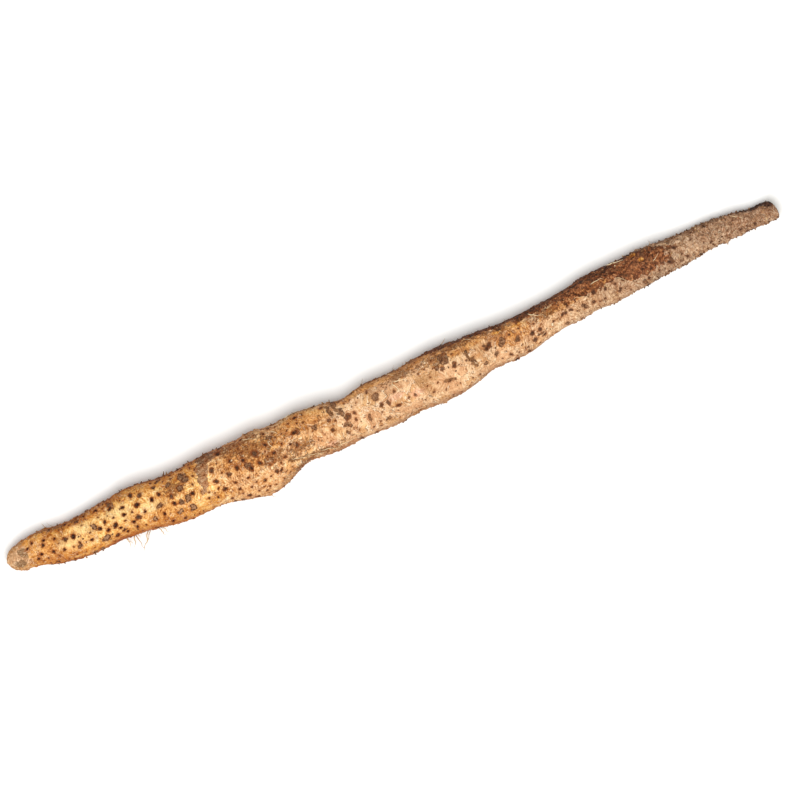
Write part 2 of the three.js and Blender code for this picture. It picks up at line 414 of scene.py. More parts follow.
def allScars():
    dice = random.Random(scars["seed"])
    made = [(onTop(place, side), across / 2, tone) for place, side, across, tone in scars["placed"]]
    taken = [points[i] for i, _, _ in made]
    sizes = [half for _, half, _ in made]
    for _ in range(scars["tries"]):
        i = dice.randrange(1 + columns * 12, peelCount)
        pick, thin, size, grey = (dice.random() for _ in range(4))
        share = np.interp(along[i], [14, 24, 150, 215, 235, 400, 430, 602],
                          [0, 1, 1, 0.9, 0.3, 0.25, 0.3, 0.3])
        if abs(roundTurn[i]) < 62:
            share *= np.interp(along[i], [120, 160, 220, 240], [0.45, 1, 1, 0.7])
        half = 0.4 + 1.5 * size ** 3
        if half > 0.8 and abs(roundTurn[i]) < 55:  # the top has its larger ones placed
            half = 0.4 + 0.4 * size
        if pick > share or thin > girth[i] / girth.max():
            continue
        gaps = np.linalg.norm(np.array(taken) - points[i], axis=1) - np.array(sizes) - half
        if gaps.min() < scars["apart"]:
            continue
        made.append((i, half, grey if half > 1.1 else 0.15 * grey))
        taken.append(points[i])
        sizes.append(half)
    return made


def scarFields():
    dice = random.Random(scars["seed"] + 1)
    edge = np.full(len(points), 5.0)  # mm to the nearest scar's edge, below zero inside it
    core = np.full(len(points), 2.0)  # 0 at a scar's middle, 1 at its edge
    tone = np.zeros(len(points))
    made = allScars()
    for i, half, grey in made:
        centre, acrossWay = points[i], aroundWay(i)
        stretch, lean = 1 + 0.55 * dice.random() ** 2, dice.uniform(0, math.pi)
        uneven = 0.2 + 0.3 * min(grey, 1)
        lobes = [(dice.uniform(0.05, uneven) / (n + 1), dice.uniform(0, 2 * math.pi)) for n in range(4)]
        for co, j, _ in peelTree.find_range(Vector(centre), half * 1.6 + 5):
            away = np.array(co) - centre
            u, v = away[0], float(away @ acrossWay)
            p = (u * math.cos(lean) + v * math.sin(lean)) / math.sqrt(stretch)
            q = (v * math.cos(lean) - u * math.sin(lean)) * math.sqrt(stretch)
            angle = math.atan2(q, p)
            waves = (lift * math.sin((n + 2) * angle + shift) for n, (lift, shift) in enumerate(lobes))
            here = half * (1 + sum(waves))
            gap = math.hypot(p, q) - here
            if gap < edge[j]:
                edge[j], core[j], tone[j] = gap, math.hypot(p, q) / here, grey
    return edge, core, tone, made


fields["scar"], fields["core"], fields["tone"], scarList = scarFields()
print("scars:", len(scarList))

# cracks and creases in the peel, as lines of (mm from the tip, mm to the side) seen from above
cracksOnTop = [
    [(253, 15.5), (254, 12), (255.4, 8)],
    [(257, 15), (259, 10), (263, 2.6)],
    [(359.2, 9.2), (360.2, 6)], [(360.6, 4.6), (361.6, 2.6)], [(361.6, 1), (363.2, -2.6)],
    [(215, -9.5), (222, -11.5), (233, -12.5)], [(238, -11.5), (246, -14)],
    [(339, -3.4), (346, -4.6)],
]
# and on the sides that don't show from above, by degrees round from the top
cracksBelow = [
    [(252, 120), (258, 150), (263, 185)], [(128, 130), (131, 165), (129, 190)],
    [(415, -110), (418, -140), (416, -165)], [(60, 165), (75, 175), (92, 170)],
    [(350, 140), (362, 150), (380, 146)],
]


def crackField():
    lines = [[(place, roundTurn[onTop(place, side)]) for place, side in line] for line in cracksOnTop]
    distance = np.full(len(points), 9.0)
    for line in lines + cracksBelow:
        for (s0, t0), (s1, t1) in zip(line, line[1:]):
            near = np.abs(along - (s0 + s1) / 2) < abs(s1 - s0) / 2 + 9
            scale = np.radians(1) * girth[near]
            u = along[near] - s0
            v = turnGap(roundTurn[near], t0) * scale
            du, dv = s1 - s0, (t1 - t0) * scale
            share = np.clip((u * du + v * dv) / (du * du + dv * dv), 0, 1)
            distance[near] = np.minimum(distance[near], np.hypot(u - share * du, v - share * dv))
    return distance


fields["crack"] = crackField()
# the browner, darker colour of its sides, painted shade and soil together, begins further down in some
# stretches
laterLeft = np.interp(along, [20, 60, 75, 130, 150, 160, 188, 200, 370, 380, 440, 455],
                      [20, 20, 0, 0, 10, 24, 24, 4, 2, 10, 14, 26])
laterRight = np.interp(along, [30, 50, 100, 180, 200, 290, 320], [8, 8, 5, 0, 9, 9, 0])
fields["flank"] = smoothStep(34, 84, np.abs(roundTurn) - np.where(roundTurn < 0, laterLeft, laterRight))
fields["flank"] *= smoothStep(2, 16, along)
fields["side"] = smoothStep(20, 52, np.abs(roundTurn))
fields["knobbly"] = 0.75 * smoothStep(415, 530, along) + 0.25 * smoothStep(520, 570, along)
# mm from the cut, along the peel
ringsToCut = np.concatenate([[len(rings)], np.repeat(np.arange(len(rings))[::-1], columns)])
fields["cut"] = np.zeros(len(points))
fields["cut"][:peelCount] = ringsToCut * skin["ringStep"]
# mm in from the rim of the cut, and peelRim all over the peel
peelRim = 99.0
cutInsets = np.repeat(skin["cutRings"], columns)
fields["rim"] = np.concatenate([np.full(peelCount, peelRim), cutInsets, [fleshSpan]])


def skinMesh():
    ringCount = len(rings) + len(flesh)
    faces = [(0, 1 + j, 1 + (j + 1) % columns) for j in range(columns)]
    for k in range(ringCount - 1):
        for j in range(columns):
            a, b = 1 + k * columns + j, 1 + k * columns + (j + 1) % columns
            faces.append((a, a + columns, b + columns, b))
    final = len(points) - 1
    start = final - columns
    faces += [(start + j, final, start + (j + 1) % columns) for j in range(columns)]
    mesh = bpy.data.meshes.new("tuber_peel")
    mesh.from_pydata((points * mm).tolist(), [], faces)
    mesh.polygons.foreach_set("use_smooth", [True] * len(faces))
    for name, values in fields.items():
        carry(mesh, name, values)
    carry(mesh, "rest", points - np.array([low[0], 0, 0]))
    return mesh


# relief of the peel, by geometry nodes; the peel's material reads the same patterns

pattern = {
    "lump": 15.0,  # slow unevenness
    "crease": 2.2,  # gap between the fine creases that run round the root
    "creaseSquash": (1.0, 0.26, 0.26),
    "streak": 1.9,  # width of the fibres that run along it
    "streakSquash": (0.3, 1.0, 1.0),
    "grain": 1.25,
    "pimple": 1.9,
    "pimpleSquash": (1.0, 0.7, 0.7),
    "tooth": 3.6,  # lumps that make the outline ragged
    "ragged": 4.5,  # raggedness of the edges of stains
}


def warped(add, rest):  # bends straight patterns, so that no two stretches run the same way
    sway = add("noise", rest, 1 / 14, 1.0, 0.55).outputs["Color"]
    away = add("apart", sway, (0.5, 0.5, 0.5))
    return add("ShaderNodeVectorMath", {0: away, 1: (16, 16, 16), 2: rest}, operation="MULTIPLY_ADD")


def creaseLines(add, rest):  # 1 along each crease, and strongest in some stretches
    squashed = add("stretch", warped(add, rest), pattern["creaseSquash"])
    wave = add("noise", squashed, 1 / pattern["crease"], 2.0, 0.5)
    line = add("step", add("ABSOLUTE", add("SUBTRACT", wave, 0.5)), 0.075, 0.0)
    return add("MULTIPLY", line, add("step", add("noise", rest, 1 / 20, 1.0, 0.55), 0.34, 0.56))


def stainEdge(add, rest, field, soft, most=14.0):  # 1 inside a stain, with a ragged edge
    ragged = add("noise", rest, 1 / pattern["ragged"], 5.0, 0.62)
    return add("step", swing(add, ragged, most, field), -soft, soft)


relief = {
    "Lump Height": 1.3, "Crease Depth": 0.34, "Streak Height": 0.2, "Grain Height": 0.6,
    "Pimple Height": 0.7, "Tooth Height": 1.2, "Scar Depth": 0.5, "Crust Height": 0.32, "Crack Depth": 0.4,
}


def newTree(name, sockets):  # a tree, what adds nodes to it, and its inputs
    tree = bpy.data.node_groups.new(name, "GeometryNodeTree")
    tree.interface.new_socket("Geometry", in_out="OUTPUT", socket_type="NodeSocketGeometry")
    for label, kind in {"Geometry": "Geometry", **sockets}.items():
        tree.interface.new_socket(label, in_out="INPUT", socket_type="NodeSocket" + kind)
    return tree, partial(addNode, tree), addNode(tree, "NodeGroupInput").outputs


def finishTree(add, geometry, *coats):  # each coat is a material, and which faces it goes on
    geometry = add("GeometryNodeRealizeInstances", {0: geometry})
    for material, chosen in coats:
        geometry = add("GeometryNodeSetMaterial", {"Geometry": geometry, "Material": material,
                                                   "Selection": chosen})
    add("NodeGroupOutput", {0: geometry})


def grow(piece, tree, values):  # runs the tree on the piece and keeps the result as a plain mesh
    modifier = piece.modifiers.new(tree.name, "NODES")
    modifier.node_group = tree
    for socket in tree.interface.items_tree:
        if socket.in_out == "INPUT" and socket.name in values:
            modifier[socket.identifier] = values[socket.name]
    graph = bpy.context.evaluated_depsgraph_get()
    mesh = bpy.data.meshes.new_from_object(piece.evaluated_get(graph), preserve_all_data_layers=True,
                                           depsgraph=graph)
    piece.modifiers.clear()
    piece.data = mesh
    mesh.name = piece.name


def reliefTree(peel, flesh):
    tree, add, over = newTree("peel relief", {label: "Float" for label in relief})
    rest = add("named", "rest", data_type="FLOAT_VECTOR")
    knobbly, scar, rim = (add("named", name) for name in ("knobbly", "scar", "rim"))
    streak = add("stretch", rest, pattern["streakSquash"])
    total = add("MULTIPLY", creaseLines(add, rest), add("MULTIPLY", over["Crease Depth"], -1))
    for wave, label in ((add("noise", rest, 1 / pattern["lump"], 2.0, 0.4), "Lump Height"),
                        (add("noise", streak, 1 / pattern["streak"], 2.0, 0.5), "Streak Height"),
                        (add("noise", rest, 1 / pattern["grain"], 1.0, 0.5), "Grain Height")):
        total = swing(add, wave, over[label], total)
    pimple = add("step", add("cells", add("stretch", rest, pattern["pimpleSquash"]), 1 / pattern["pimple"]),
                 0.55, 0.1)
    total = add("MULTIPLY_ADD", pimple, add("MULTIPLY", knobbly, over["Pimple Height"]), total)
    tooth = add("step", add("noise", rest, 1 / pattern["tooth"], 2.0, 0.6), 0.53, 0.72, -0.12, 0.88)
    tooth = add("MULTIPLY", tooth, add("MULTIPLY_ADD", knobbly, 0.25, 0.75))
    total = add("MULTIPLY_ADD", tooth, over["Tooth Height"], total)
    # a scar is a shallow pit with a low swelling round it
    dent = add("SUBTRACT", add("step", scar, 1.3, 0.1, 0.0, 0.5), add("step", scar, 0.1, -0.7, 0.0, 1.2))
    total = add("MULTIPLY_ADD", dent, over["Scar Depth"], total)
    for name, most in (("soil", 7.0), ("rust", 14.0), ("scab", 6.0)):
        crust = stainEdge(add, rest, add("named", name), 0.6, most)
        total = add("MULTIPLY_ADD", crust, over["Crust Height"], total)
    groove = add("step", add("named", "crack"), 1.6, 0.4)
    total = add("SUBTRACT", total, add("MULTIPLY", groove, over["Crack Depth"]))
    # the cut keeps its knife-flat face, a little sunk as it dried
    total = add("MULTIPLY", total, add("step", add("named", "cut"), 0.0, 3.0, 0.12, 1.0))
    total = add("mix", add("step", rim, 20, 30), add("step", rim, 0.0, 1.0, 0.0, -0.35), total,
                data_type="FLOAT")
    push = add("scale", add("GeometryNodeInputNormal"), add("MULTIPLY", total, mm))
    moved = add("GeometryNodeSetPosition", {"Geometry": over["Geometry"], "Offset": push})
    # nothing goes below the surface that it lies on
    place = add("split", add("GeometryNodeInputPosition")).outputs
    lifted = add("vector", place[0], place[1], add("MAXIMUM", place[2], restGap * mm))
    settled = add("GeometryNodeSetPosition", {"Geometry": moved, "Position": lifted})
    finishTree(add, settled, (peel, True), (flesh, add("LESS_THAN", rim, peelRim / 4)))
    return tree


# materials

def newMaterial(name):  # a material, and what adds nodes to it
    material = bpy.data.materials.new(name)
    material.use_nodes = True
    material.node_tree.nodes.clear()
    return material, partial(addNode, material.node_tree)


def finishMaterial(add, finish):
    add("ShaderNodeOutputMaterial", {"Surface": add("ShaderNodeBsdfPrincipled", finish)})


# five shades from hollow to crest, for each stretch of the root
peelTints = {
    "golden": ["#954F1B", "#D08A40", "#EEB567", "#FACF87", "#FFE6AC"],
    "belly": ["#7E4A23", "#BE824C", "#E4AD74", "#F2C38C", "#FEE2B1"],
    "cream": ["#855A38", "#C08E63", "#DCAF83", "#EAC093", "#F8DBB2"],
    "neck": ["#664932", "#906C50", "#B28A69", "#C49F7E", "#E2C6A9"],
    "tip": ["#9A7050", "#BA8E66", "#D3A57B", "#E2B88D", "#EED0A6"],
}
tintStops = (0.24, 0.38, 0.5, 0.6, 0.76)
# where each stretch begins and where it is complete, mm from the tip
stretches = {"belly": (145, 172), "cream": (218, 268), "neck": (400, 505)}
# the shades of what lies on the peel, from its hollows to its crests
stainTints = {
    "ochre": {0.3: "#7E4419", 0.43: "#B06A2C", 0.56: "#D49049", 0.72: "#EFBB73"},
    "blush": {0.3: "#A0654C", 0.5: "#E2A386", 0.7: "#F2C3A6"},
    "olive": {0.3: "#7E5732", 0.5: "#B98756", 0.7: "#D2A274"},
    "dirt": {0.36: "#44260F", 0.5: "#774622", 0.66: "#A66E3A"},
    "rust": {0.32: "#2C1307", 0.42: "#572B13", 0.51: "#733D20", 0.6: "#95572F", 0.74: "#C08757"},
    "orange": {0.3: "#7E3E12", 0.5: "#C07A2E", 0.68: "#E8B465"},
    "smudge": {0.35: "#563D26", 0.5: "#785636", 0.65: "#94704A"},
    "soil": {0.3: "#4C301C", 0.42: "#82593C", 0.54: "#A57A58", 0.7: "#C49C78"},
    "scab": {0.34: "#2E180C", 0.46: "#643B22", 0.56: "#8A5B3B", 0.68: "#B2835C"},
    "crack": {0.35: "#4E2E18", 0.6: "#94653E"},
    "shade": {0.38: "#180B07", 0.66: "#5A382B"},
}
# how strong each kind of mark is, by share of the way from the tip to the cut
strengths = {
    "large": {0.02: 0.75, 0.1: 0.5, 0.2: 0.5, 0.28: 0.9, 0.4: 0.8, 0.46: 0.45, 0.56: 0.5, 0.64: 0.7,
              0.9: 0.6},
    "small": {0.02: 0.5, 0.1: 0.7, 0.2: 0.7, 0.28: 0.75, 0.46: 0.55, 0.61: 0.5, 0.66: 0.8, 0.9: 0.8},
    "layers": {0.08: 0.4, 0.24: 0.45, 0.3: 0.5, 0.37: 1.0, 0.56: 1.0, 0.6: 0.8, 0.66: 0.8, 0.74: 0.45},
    "wrinkles": {0.36: 1.0, 0.45: 0.6, 0.61: 0.6, 0.66: 1.0},
    "scars": {0.2: 1.0, 0.27: 0.88, 0.37: 0.88, 0.44: 0.7, 0.6: 0.7, 0.66: 0.85},
    "pores": {0.3: 1.0, 0.38: 0.45, 0.62: 0.45, 0.68: 0.9},
}


def peelMaterial():
    # Cork peel of a dug tuber, grown and then dried: dull golden tan to grey brown, freckled and stained.
    material, add = newMaterial("dry cork peel")
    plus = partial(swing, add)
    on = {name: add("carried", attribute_name=name).outputs["Fac"]
          for name in fields if name not in ("cut", "rim")}

    def laid(base, tint, *shares, **settings):  # a tint on the colour so far, by the product of the shares
        where = shares[0]
        for share in shares[1:]:
            where = add("MULTIPLY", where, share)
        return add("mix", where, base, tint, **settings)

    rest = add("carried", attribute_name="rest").outputs["Vector"]
    alongX = add("split", rest).outputs[0]
    swayed = warped(add, rest)
    broad, medium = add("noise", rest, 1 / 15, 4, 0.55), add("noise", rest, 1 / 4.8, 4, 0.6)
    fine = add("noise", rest, 1 / pattern["grain"], 3, 0.6)
    finest = add("noise", add("stretch", swayed, (1.0, 0.55, 0.55)), 1, 1.5, 0.55)
    streak = add("noise", add("stretch", rest, pattern["streakSquash"]), 1 / pattern["streak"], 2.0, 0.5)
    clump, patchy = add("noise", rest, 1 / 2.2, 5, 0.7), add("noise", rest, 1 / 6.5, 4, 0.6)
    creases = creaseLines(add, rest)
    wander = plus(broad, 60.0, alongX)
    away = add("DIVIDE", wander, high[0] - low[0])
    strong = {name: add("ramp", away, stops=stops) for name, stops in strengths.items()}

    # hollows are darker and crests paler, at every size, and some stretches are smoother than others
    large = add("MULTIPLY", plus(medium, 0.7, plus(broad, 0.6, 0.0)), strong["large"])
    small = plus(finest, 1.0, plus(fine, 0.5, plus(streak, 0.3, add("MULTIPLY", creases, -0.14))))
    level = add("ADD", add("ADD", large, add("MULTIPLY", small, strong["small"])), 0.54)
    shades = {name: add("ramp", level, stops=dict(zip(tintStops, tints)))
              for name, tints in peelTints.items()}
    base = shades["golden"]
    for name, (start, whole) in stretches.items():
        base = laid(base, shades[name], add("step", wander, start, whole))
    tipEdge = plus(medium, 9.0, plus(broad, 8.0, alongX))
    base = laid(base, shades["tip"], add("step", tipEdge, 17.5, 15.5))
    base = laid(base, "#CCB4A6", add("step", alongX, 535, 590, 0.0, 0.55), blend_type="MULTIPLY")

    # thin layers of cork that came away: crisp patches of another tone, each with a dark and a pale lip
    layer = add("noise", swayed, 1 / 13, 4.5, 0.53)
    there = add("MULTIPLY", strong["layers"], add("step", add("noise", rest, 1 / 8, 2, 0.55), 0.47, 0.54))
    for height, side, tint in ((0.55, 1, "#E8D4C6"), (0.45, -1, "#EAD9BE"), (0.36, -1, "#DCC0A0")):
        inside = add("MULTIPLY", add("SUBTRACT", layer, height), side)
        base = laid(base, tint, add("step", inside, 0.0, 0.006), strong["layers"], 0.75,
                    blend_type="MULTIPLY")
        dark = add("step", add("ABSOLUTE", add("SUBTRACT", inside, 0.002)), 0.011, 0.004)
        pale = add("step", add("ABSOLUTE", add("ADD", inside, 0.014)), 0.009, 0.003)
        base = laid(base, "#643A1C", dark, there, 0.75)
        base = laid(base, "#FFECCC", pale, there, 0.62)

    # stains: washes first, then crusts with a ragged edge; some washes are painted shade and painted
    # highlight
    ochreIn, highlightIn, blushIn, orangeIn = (add("ADD", on[name], patchy)
                                          for name in ("ochre", "pale", "blush", "orange"))
    base = laid(base, add("ramp", level, stops=stainTints["ochre"]), add("step", ochreIn, 0.6, 0.9), 0.75)
    # painted shade: the sides of the golden stretch are darkened towards orange brown
    shadedSides = add("step", plus(patchy, 1.2, on["side"]), 0.1, 0.95)
    base = laid(base, "#E2CBA8", add("step", wander, 175, 140), shadedSides, blend_type="MULTIPLY")
    # painted highlight: the pale wash on the middle of the golden stretch
    base = laid(base, "#FBDC98", add("step", highlightIn, 0.65, 1.1), 0.5)
    base = laid(base, add("ramp", level, stops=stainTints["blush"]), add("step", blushIn, 0.65, 1.1), 0.5)
    oliveIn = add("step", plus(medium, 5.0, on["olive"]), -0.1, 0.4, 0.0, 0.78)
    base = laid(base, add("ramp", level, stops=stainTints["olive"]), oliveIn)
    # dark brown patches: dirt, and partly painted shade along the edges
    dirtAndShadeIn = add("MULTIPLY_ADD", on["dirt"], 0.3, clump)
    base = laid(base, add("ramp", fine, stops=stainTints["dirt"]), add("step", dirtAndShadeIn, 0.6, 0.68), 0.8)
    rustIn = stainEdge(add, rest, on["rust"], 0.35)
    # the rust is a little darker towards the sides: painted shade
    rustLevel = plus(fine, 0.35, plus(patchy, 0.4, plus(streak, 0.4, add("MULTIPLY", on["side"], -0.05))))
    rustLevel = add("ADD", plus(finest, 0.6, rustLevel), clump)
    base = laid(base, add("ramp", rustLevel, stops=stainTints["rust"]), rustIn, 0.95)
    base = laid(base, "#C99A6C", rustIn, add("step", add("cells", swayed, 1 / 3.1), 0.2, 0.12), 0.5)
    base = laid(base, "#3A1C0E", rustIn, add("step", add("cells", rest, 1 / 4.2), 0.26, 0.18), 0.6)
    base = laid(base, add("ramp", rustLevel, stops=stainTints["orange"]),
                add("step", orangeIn, 0.62, 0.86, 0.0, 0.9))
    smudged = add("step", plus(medium, 7.0, on["smudge"]), 0.2, 1.2, 0.0, 0.85)
    base = laid(base, add("ramp", fine, stops=stainTints["smudge"]), smudged)
    soilIn = stainEdge(add, rest, on["soil"], 0.25, 7.0)
    # the soil is a little darker towards the sides: painted shade
    soilLevel = plus(fine, 0.5, add("ADD", clump, add("MULTIPLY", on["side"], -0.1)))
    base = laid(base, add("ramp", soilLevel, stops=stainTints["soil"]), soilIn, 0.94)
    soilLip = add("step", add("ABSOLUTE", add("SUBTRACT", soilIn, 0.5)), 0.45, 0.2)
    base = laid(base, "#5A3519", soilLip, 0.8)
    # scabs: small hard crusts, darkest at their lips
    scabIn = stainEdge(add, rest, on["scab"], 0.25, 6.0)
    scabCore = stainEdge(add, rest, add("SUBTRACT", on["scab"], 0.6), 0.3, 6.0)
    scab = laid("#422414", add("ramp", plus(fine, 0.5, clump), stops=stainTints["scab"]), scabCore, 0.9)
    base = laid(base, scab, scabIn, 0.92)

    # granules of the neck: dark hollows between pale grains
    clean = add("SUBTRACT", 1.0, add("MULTIPLY", rustIn, 0.9))
    knobs = add("MULTIPLY", on["knobbly"], clean)
    pimples = add("cells", add("stretch", rest, pattern["pimpleSquash"]), 1 / pattern["pimple"])
    ridges = add("cells", add("stretch", swayed, (1.0, 0.42, 0.42)), 1 / 2.4)
    pits = add("cells", add("stretch", swayed, (0.8, 1.0, 1.0)), 1 / 3.1)
    for cells, start, stop, most, tint in (
            (pimples, 0.42, 0.7, 0.42, "#604331"), (pimples, 0.24, 0.08, 0.32, "#E6CBB4"),
            (ridges, 0.2, 0.1, 0.5, "#E4C8AE"), (pits, 0.22, 0.12, 0.65, "#4C3324")):
        base = laid(base, tint, add("step", cells, start, stop), knobs, most)

    # hair-fine wrinkles: dark ones, and pale ones where the skin is rubbed
    smooth = add("SUBTRACT", clean, add("MULTIPLY", knobs, 0.7))
    for shift, squash, width, tint, most in ((0, (0.55, 1, 1), 0.03, "#7A431C", 0.7),
                                             (70, (1, 0.6, 0.6), 0.024, "#FFE9C2", 0.5)):
        moved = add("join", add("stretch", swayed, squash), (shift, shift, shift))
        ridge = add("ABSOLUTE", add("SUBTRACT", add("noise", moved, 1 / 3.6, 3.0, 0.6), 0.5))
        base = laid(base, tint, add("step", ridge, width, 0.0), add("step", patchy, 0.44, 0.56), smooth,
                    strong["wrinkles"], most)

    # pin-prick pores, and pale flecks that are painted highlights
    pore = add("step", add("cells", rest, 1 / 4.6), 0.16, 0.09, 0.0, 0.7)
    speck = add("step", add("cells", add("stretch", swayed, (0.7, 1.0, 1.0)), 1 / 2.3), 0.24, 0.15)
    highlightFleck = add("step", add("noise", rest, 1 / 0.95, 2, 0.55), 0.61, 0.7)
    base = laid(base, "#8E4A1C", speck, add("step", clump, 0.46, 0.56), 0.72)
    base = laid(base, "#74390F", pore, strong["pores"])
    base = laid(base, "#FFE4B4", highlightFleck, clean, 0.36)

    # root scars: a warm halo, a dark ragged disc, a greyer middle in old ones, pale pith in the freshest
    fray = add("noise", rest, 1 / 0.9, 3, 0.55)
    fray = add("MULTIPLY_ADD", add("noise", rest, 1 / 2.2, 2, 0.55), 0.6, fray)
    frayed = add("MULTIPLY_ADD", add("SUBTRACT", fray, 0.8), 2.6, on["scar"])
    greyer = add("step", wander, 400, 540)
    halo, rim = add("mix", greyer, "#A8602A", "#8C6244"), add("mix", greyer, "#7C4420", "#6A4630")
    base = laid(base, halo, add("step", frayed, 2.8, 0.4), 0.36, strong["scars"])
    base = laid(base, rim, add("step", frayed, 0.65, 0.15), 0.75, strong["scars"])
    old, middle = add("step", on["tone"], 0.15, 0.75), add("step", on["core"], 0.86, 0.6)
    disc = add("mix", middle, add("mix", old, "#7E3C14", "#4E2A14"), add("mix", old, "#210D08", "#936A4A"))
    disc = laid(disc, add("mix", middle, "#664634", "#40291E"), add("step", wander, 225, 480, 0.0, 0.75))
    disc = laid(disc, "#B48A66", add("step", fine, 0.48, 0.6), add("MULTIPLY_ADD", old, 0.45, 0.1))
    disc = laid(disc, "#38200F", add("step", fine, 0.47, 0.41), old, 0.8)
    disc = laid(disc, "#F0DEBA", add("step", on["tone"], 1.3, 1.7))
    base = laid(base, disc, add("step", frayed, 0.3, -0.1), strong["scars"])

    # cracks, and painted shade: a near-black patch on the upper edge of the cut neck
    # the dark lines along the cracks are partly their own brown and partly painted shade in them
    line = add("step", plus(patchy, 3.0, plus(fine, 3.0, on["crack"])), 1.4, 0.8)
    base = laid(base, add("ramp", fine, stops=stainTints["crack"]), line, 0.85)
    shadedCorner = add("step", add("MULTIPLY_ADD", clump, 0.8, on["shade"]), 0.45, 0.95, 0.0, 0.92)
    base = laid(base, add("ramp", fine, stops=stainTints["shade"]), shadedCorner)
    # its sides and underside are painted darker and browner: painted shade where they turn away from the
    # light, and soil where they lay against it
    shadeAndSoilTint = add("mix", add("step", wander, 150, 240), "#D8BCA6", "#CFC0B6")
    base = laid(base, shadeAndSoilTint, add("step", plus(medium, 0.9, on["flank"]), 0.05, 0.95),
                blend_type="MULTIPLY")

    # fine relief too small for the mesh
    height = plus(add("noise", rest, 1 / 0.6, 3, 0.6), 0.5, fine)
    height = add("MULTIPLY_ADD", creases, -0.5, height)
    height = add("MULTIPLY_ADD", add("step", frayed, 0.15, -0.25), -0.5, height)
    bump = add("ShaderNodeBump", {"Height": height, "Strength": 1.0, "Distance": 0.5 * mm})
    rough = add("step", medium, 0.3, 0.7, 0.55, 0.8)
    finishMaterial(add, {"Base Color": base, "Roughness": rough, "IOR": 1.4, "Specular IOR Level": 0.18,
                         "Normal": bump})
    return material


def fleshMaterial():
    # Starchy flesh, knife-cut and dried: chalky off-white, browned next to the peel.
    material, add = newMaterial("dried yam flesh")
    grain = add("noise", add("carried", attribute_name="rest").outputs["Vector"], 1 / 1.1, 4, 0.55)
    flesh = add("ramp", grain, stops={0.25: "#D0BC9A", 0.55: "#E8DAC2", 0.75: "#F2E8D6"})
    edge = add("step", add("carried", attribute_name="rim").outputs["Fac"], 0.9, 0.3, 0.0, 0.85)
    bump = add("ShaderNodeBump", {"Height": grain, "Strength": 0.5, "Distance": 0.3 * mm})
    finishMaterial(add, {"Base Color": add("mix", edge, flesh, "#6B4A30"), "Roughness": 0.85, "IOR": 1.4,
                         "Normal": bump})
    return material


def stubMaterial():
    # Broken root ends: dried dark brown, with the pale pith showing at some tips.
    material, add = newMaterial("dried root stub")
    tip, pale = (add("carried", attribute_name=name).outputs["Fac"] for name in ("tip", "pale"))
    shade = add("ramp", pale, stops={0.0: "#4A2D1B", 0.6: "#7A5233", 1.0: "#A77E56"})
    end = add("ramp", pale, stops={0.6: "#5F3F29", 0.85: "#B8925F", 1.0: "#E6D2AC"})
    finishMaterial(add, {"Base Color": add("mix", add("step", tip, 0.5, 0.9), shade, end), "Roughness": 0.8,
                         "IOR": 1.4, "Specular IOR Level": 0.2})
    return material


def rootletMaterial():
    # Dry root hairs: pale straw, browner where they leave the peel.
    material, add = newMaterial("dry root hair")
    share, pale = (add("carried", attribute_name=name).outputs["Fac"] for name in ("share", "pale"))
    straw = add("ramp", pale, stops={0.0: "#5F3E26", 0.4: "#C49A66", 1.0: "#F0DDB4"})
    brown = add("step", share, 0.22, 0.0, 0.0, 0.7)
    finishMaterial(add, {"Base Color": add("mix", brown, straw, "#6B452A"), "Roughness": 0.7, "IOR": 1.45,
                         "Specular IOR Level": 0.2})
    return material


tuber = addPiece("tuber_peel", skinMesh())
grow(tuber, reliefTree(peelMaterial(), fleshMaterial()), relief)
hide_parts("tuber")
declare(tuber)


# stubs of broken roots, which stand all over the peel

stubs = {
    "Gap": 3.4, "Density": 0.055, "Seed": 7,  # Density is the most in each square mm
    "Thin": 0.26, "Thick": 0.62,  # half a stub's width
    "Short": 0.5, "Tall": 1.7, "Lean": 0.9, "Crook": 0.5,
}


def peelShare(add):  # how much of a stretch carries stubs, from its own fields
    rest = add("split", add("named", "rest", data_type="FLOAT_VECTOR")).outputs
    clear = add("MULTIPLY", add("step", rest[2], 1.5, 4.0), add("step", rest[0], 12, 22))
    share = add("MULTIPLY_ADD", add("named", "knobbly"), 0.75, 0.16)
    share = add("MULTIPLY_ADD", add("step", add("named", "scar"), 0.2, -0.2), 0.7, share)
    return add("MULTIPLY", add("MULTIPLY", share, clear), add("step", add("named", "rim"), 20, 30))


